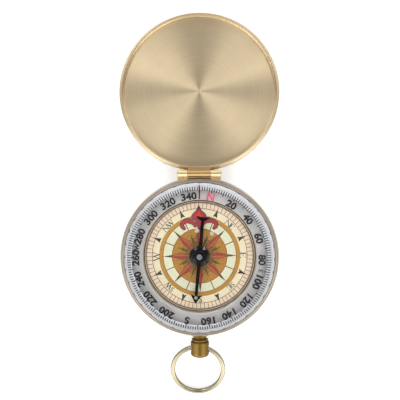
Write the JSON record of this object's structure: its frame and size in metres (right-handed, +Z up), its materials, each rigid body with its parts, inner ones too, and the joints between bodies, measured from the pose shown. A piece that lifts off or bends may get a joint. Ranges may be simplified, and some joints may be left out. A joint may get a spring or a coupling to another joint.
{
  "type": "pocket compass",
  "caption": "Round brass pocket compass with a hinged lid, clear turning bezel with a degree scale, wind-rose dial, pivoting needle and a bow ring on its pendant.",
  "frame": {"origin": "centre of the flat underside of the case, on the axis of the dial and the needle", "axes": "+Z up out of the dial, +Y towards the hinge and the open lid, +X towards the dial's right side"},
  "size_m": [0.0506, 0.1232, 0.0094],
  "materials": {
    "case_brass": "turned and satin, lacquered",
    "lid_brass": "circular brushed inside, satin outside",
    "hinge_brass": "polished",
    "hinge_pin": "polished",
    "pendant_brass": "polished",
    "ring_wire": "bright drawn wire",
    "insert_plastic": "moulded, matt",
    "rose_card": "printed card with a satin varnish",
    "chapter_metal": "satin",
    "index_paint": "red enamel",
    "bush_metal": "white lacquer",
    "pivot_steel": "hardened and polished",
    "gasket_rubber": "matt",
    "spring_steel": "drawn wire",
    "clear_acrylic": "clear, polished",
    "scale_film": "clear film with black and red print",
    "lume": "luminous paint",
    "needle_black": "black enamel",
    "jewel": "polished bearing stone"
  },
  "bodies": {
    "case": {"case_shell": "case_brass", "dial_insert": "insert_plastic", "rose_dial": "rose_card", "chapter_ring": "chapter_metal", "index_mark": "index_paint", "pivot_bush": "bush_metal", "pivot_pin": "pivot_steel", "bezel_gasket": "gasket_rubber", "bezel_spring": "spring_steel", "hinge_bracket": "hinge_brass", "hinge_pin": "hinge_pin", "pendant_stub": "pendant_brass", "pendant_knob": "pendant_brass"},
    "lid": {"lid_shell": "lid_brass", "lid_hinge_leaf": "hinge_brass"},
    "bezel": {"bezel_lens": "clear_acrylic", "degree_scale": "scale_film", "lume_dots": "lume"},
    "needle": {"needle_blade": "needle_black", "needle_hub": "needle_black", "needle_cap": "needle_black", "needle_jewel": "jewel", "needle_dot": "lume"},
    "bow": {"bow_ring": "ring_wire"}
  },
  "joints": [
    {"name": "lid_hinge", "type": "hinge", "parent": "case", "child": "lid", "pos_m": [0, 0.0263, 0.0082], "axis": [1, 0, 0], "range_deg": [0, 185.36]},
    {"name": "bezel_turn", "type": "hinge", "parent": "case", "child": "bezel", "pos_m": [0, 0, 0.0075], "axis": [0, 0, 1], "continuous": true},
    {"name": "needle_swing", "type": "hinge", "parent": "case", "child": "needle", "pos_m": [0, 0, 0.0059], "axis": [0, 0, 1], "continuous": true},
    {"name": "bow_swing", "type": "hinge", "parent": "case", "child": "bow", "pos_m": [0, -0.0296, 0.0046], "axis": [1, 0, 0], "range_deg": [-134, 124]}
  ]
}
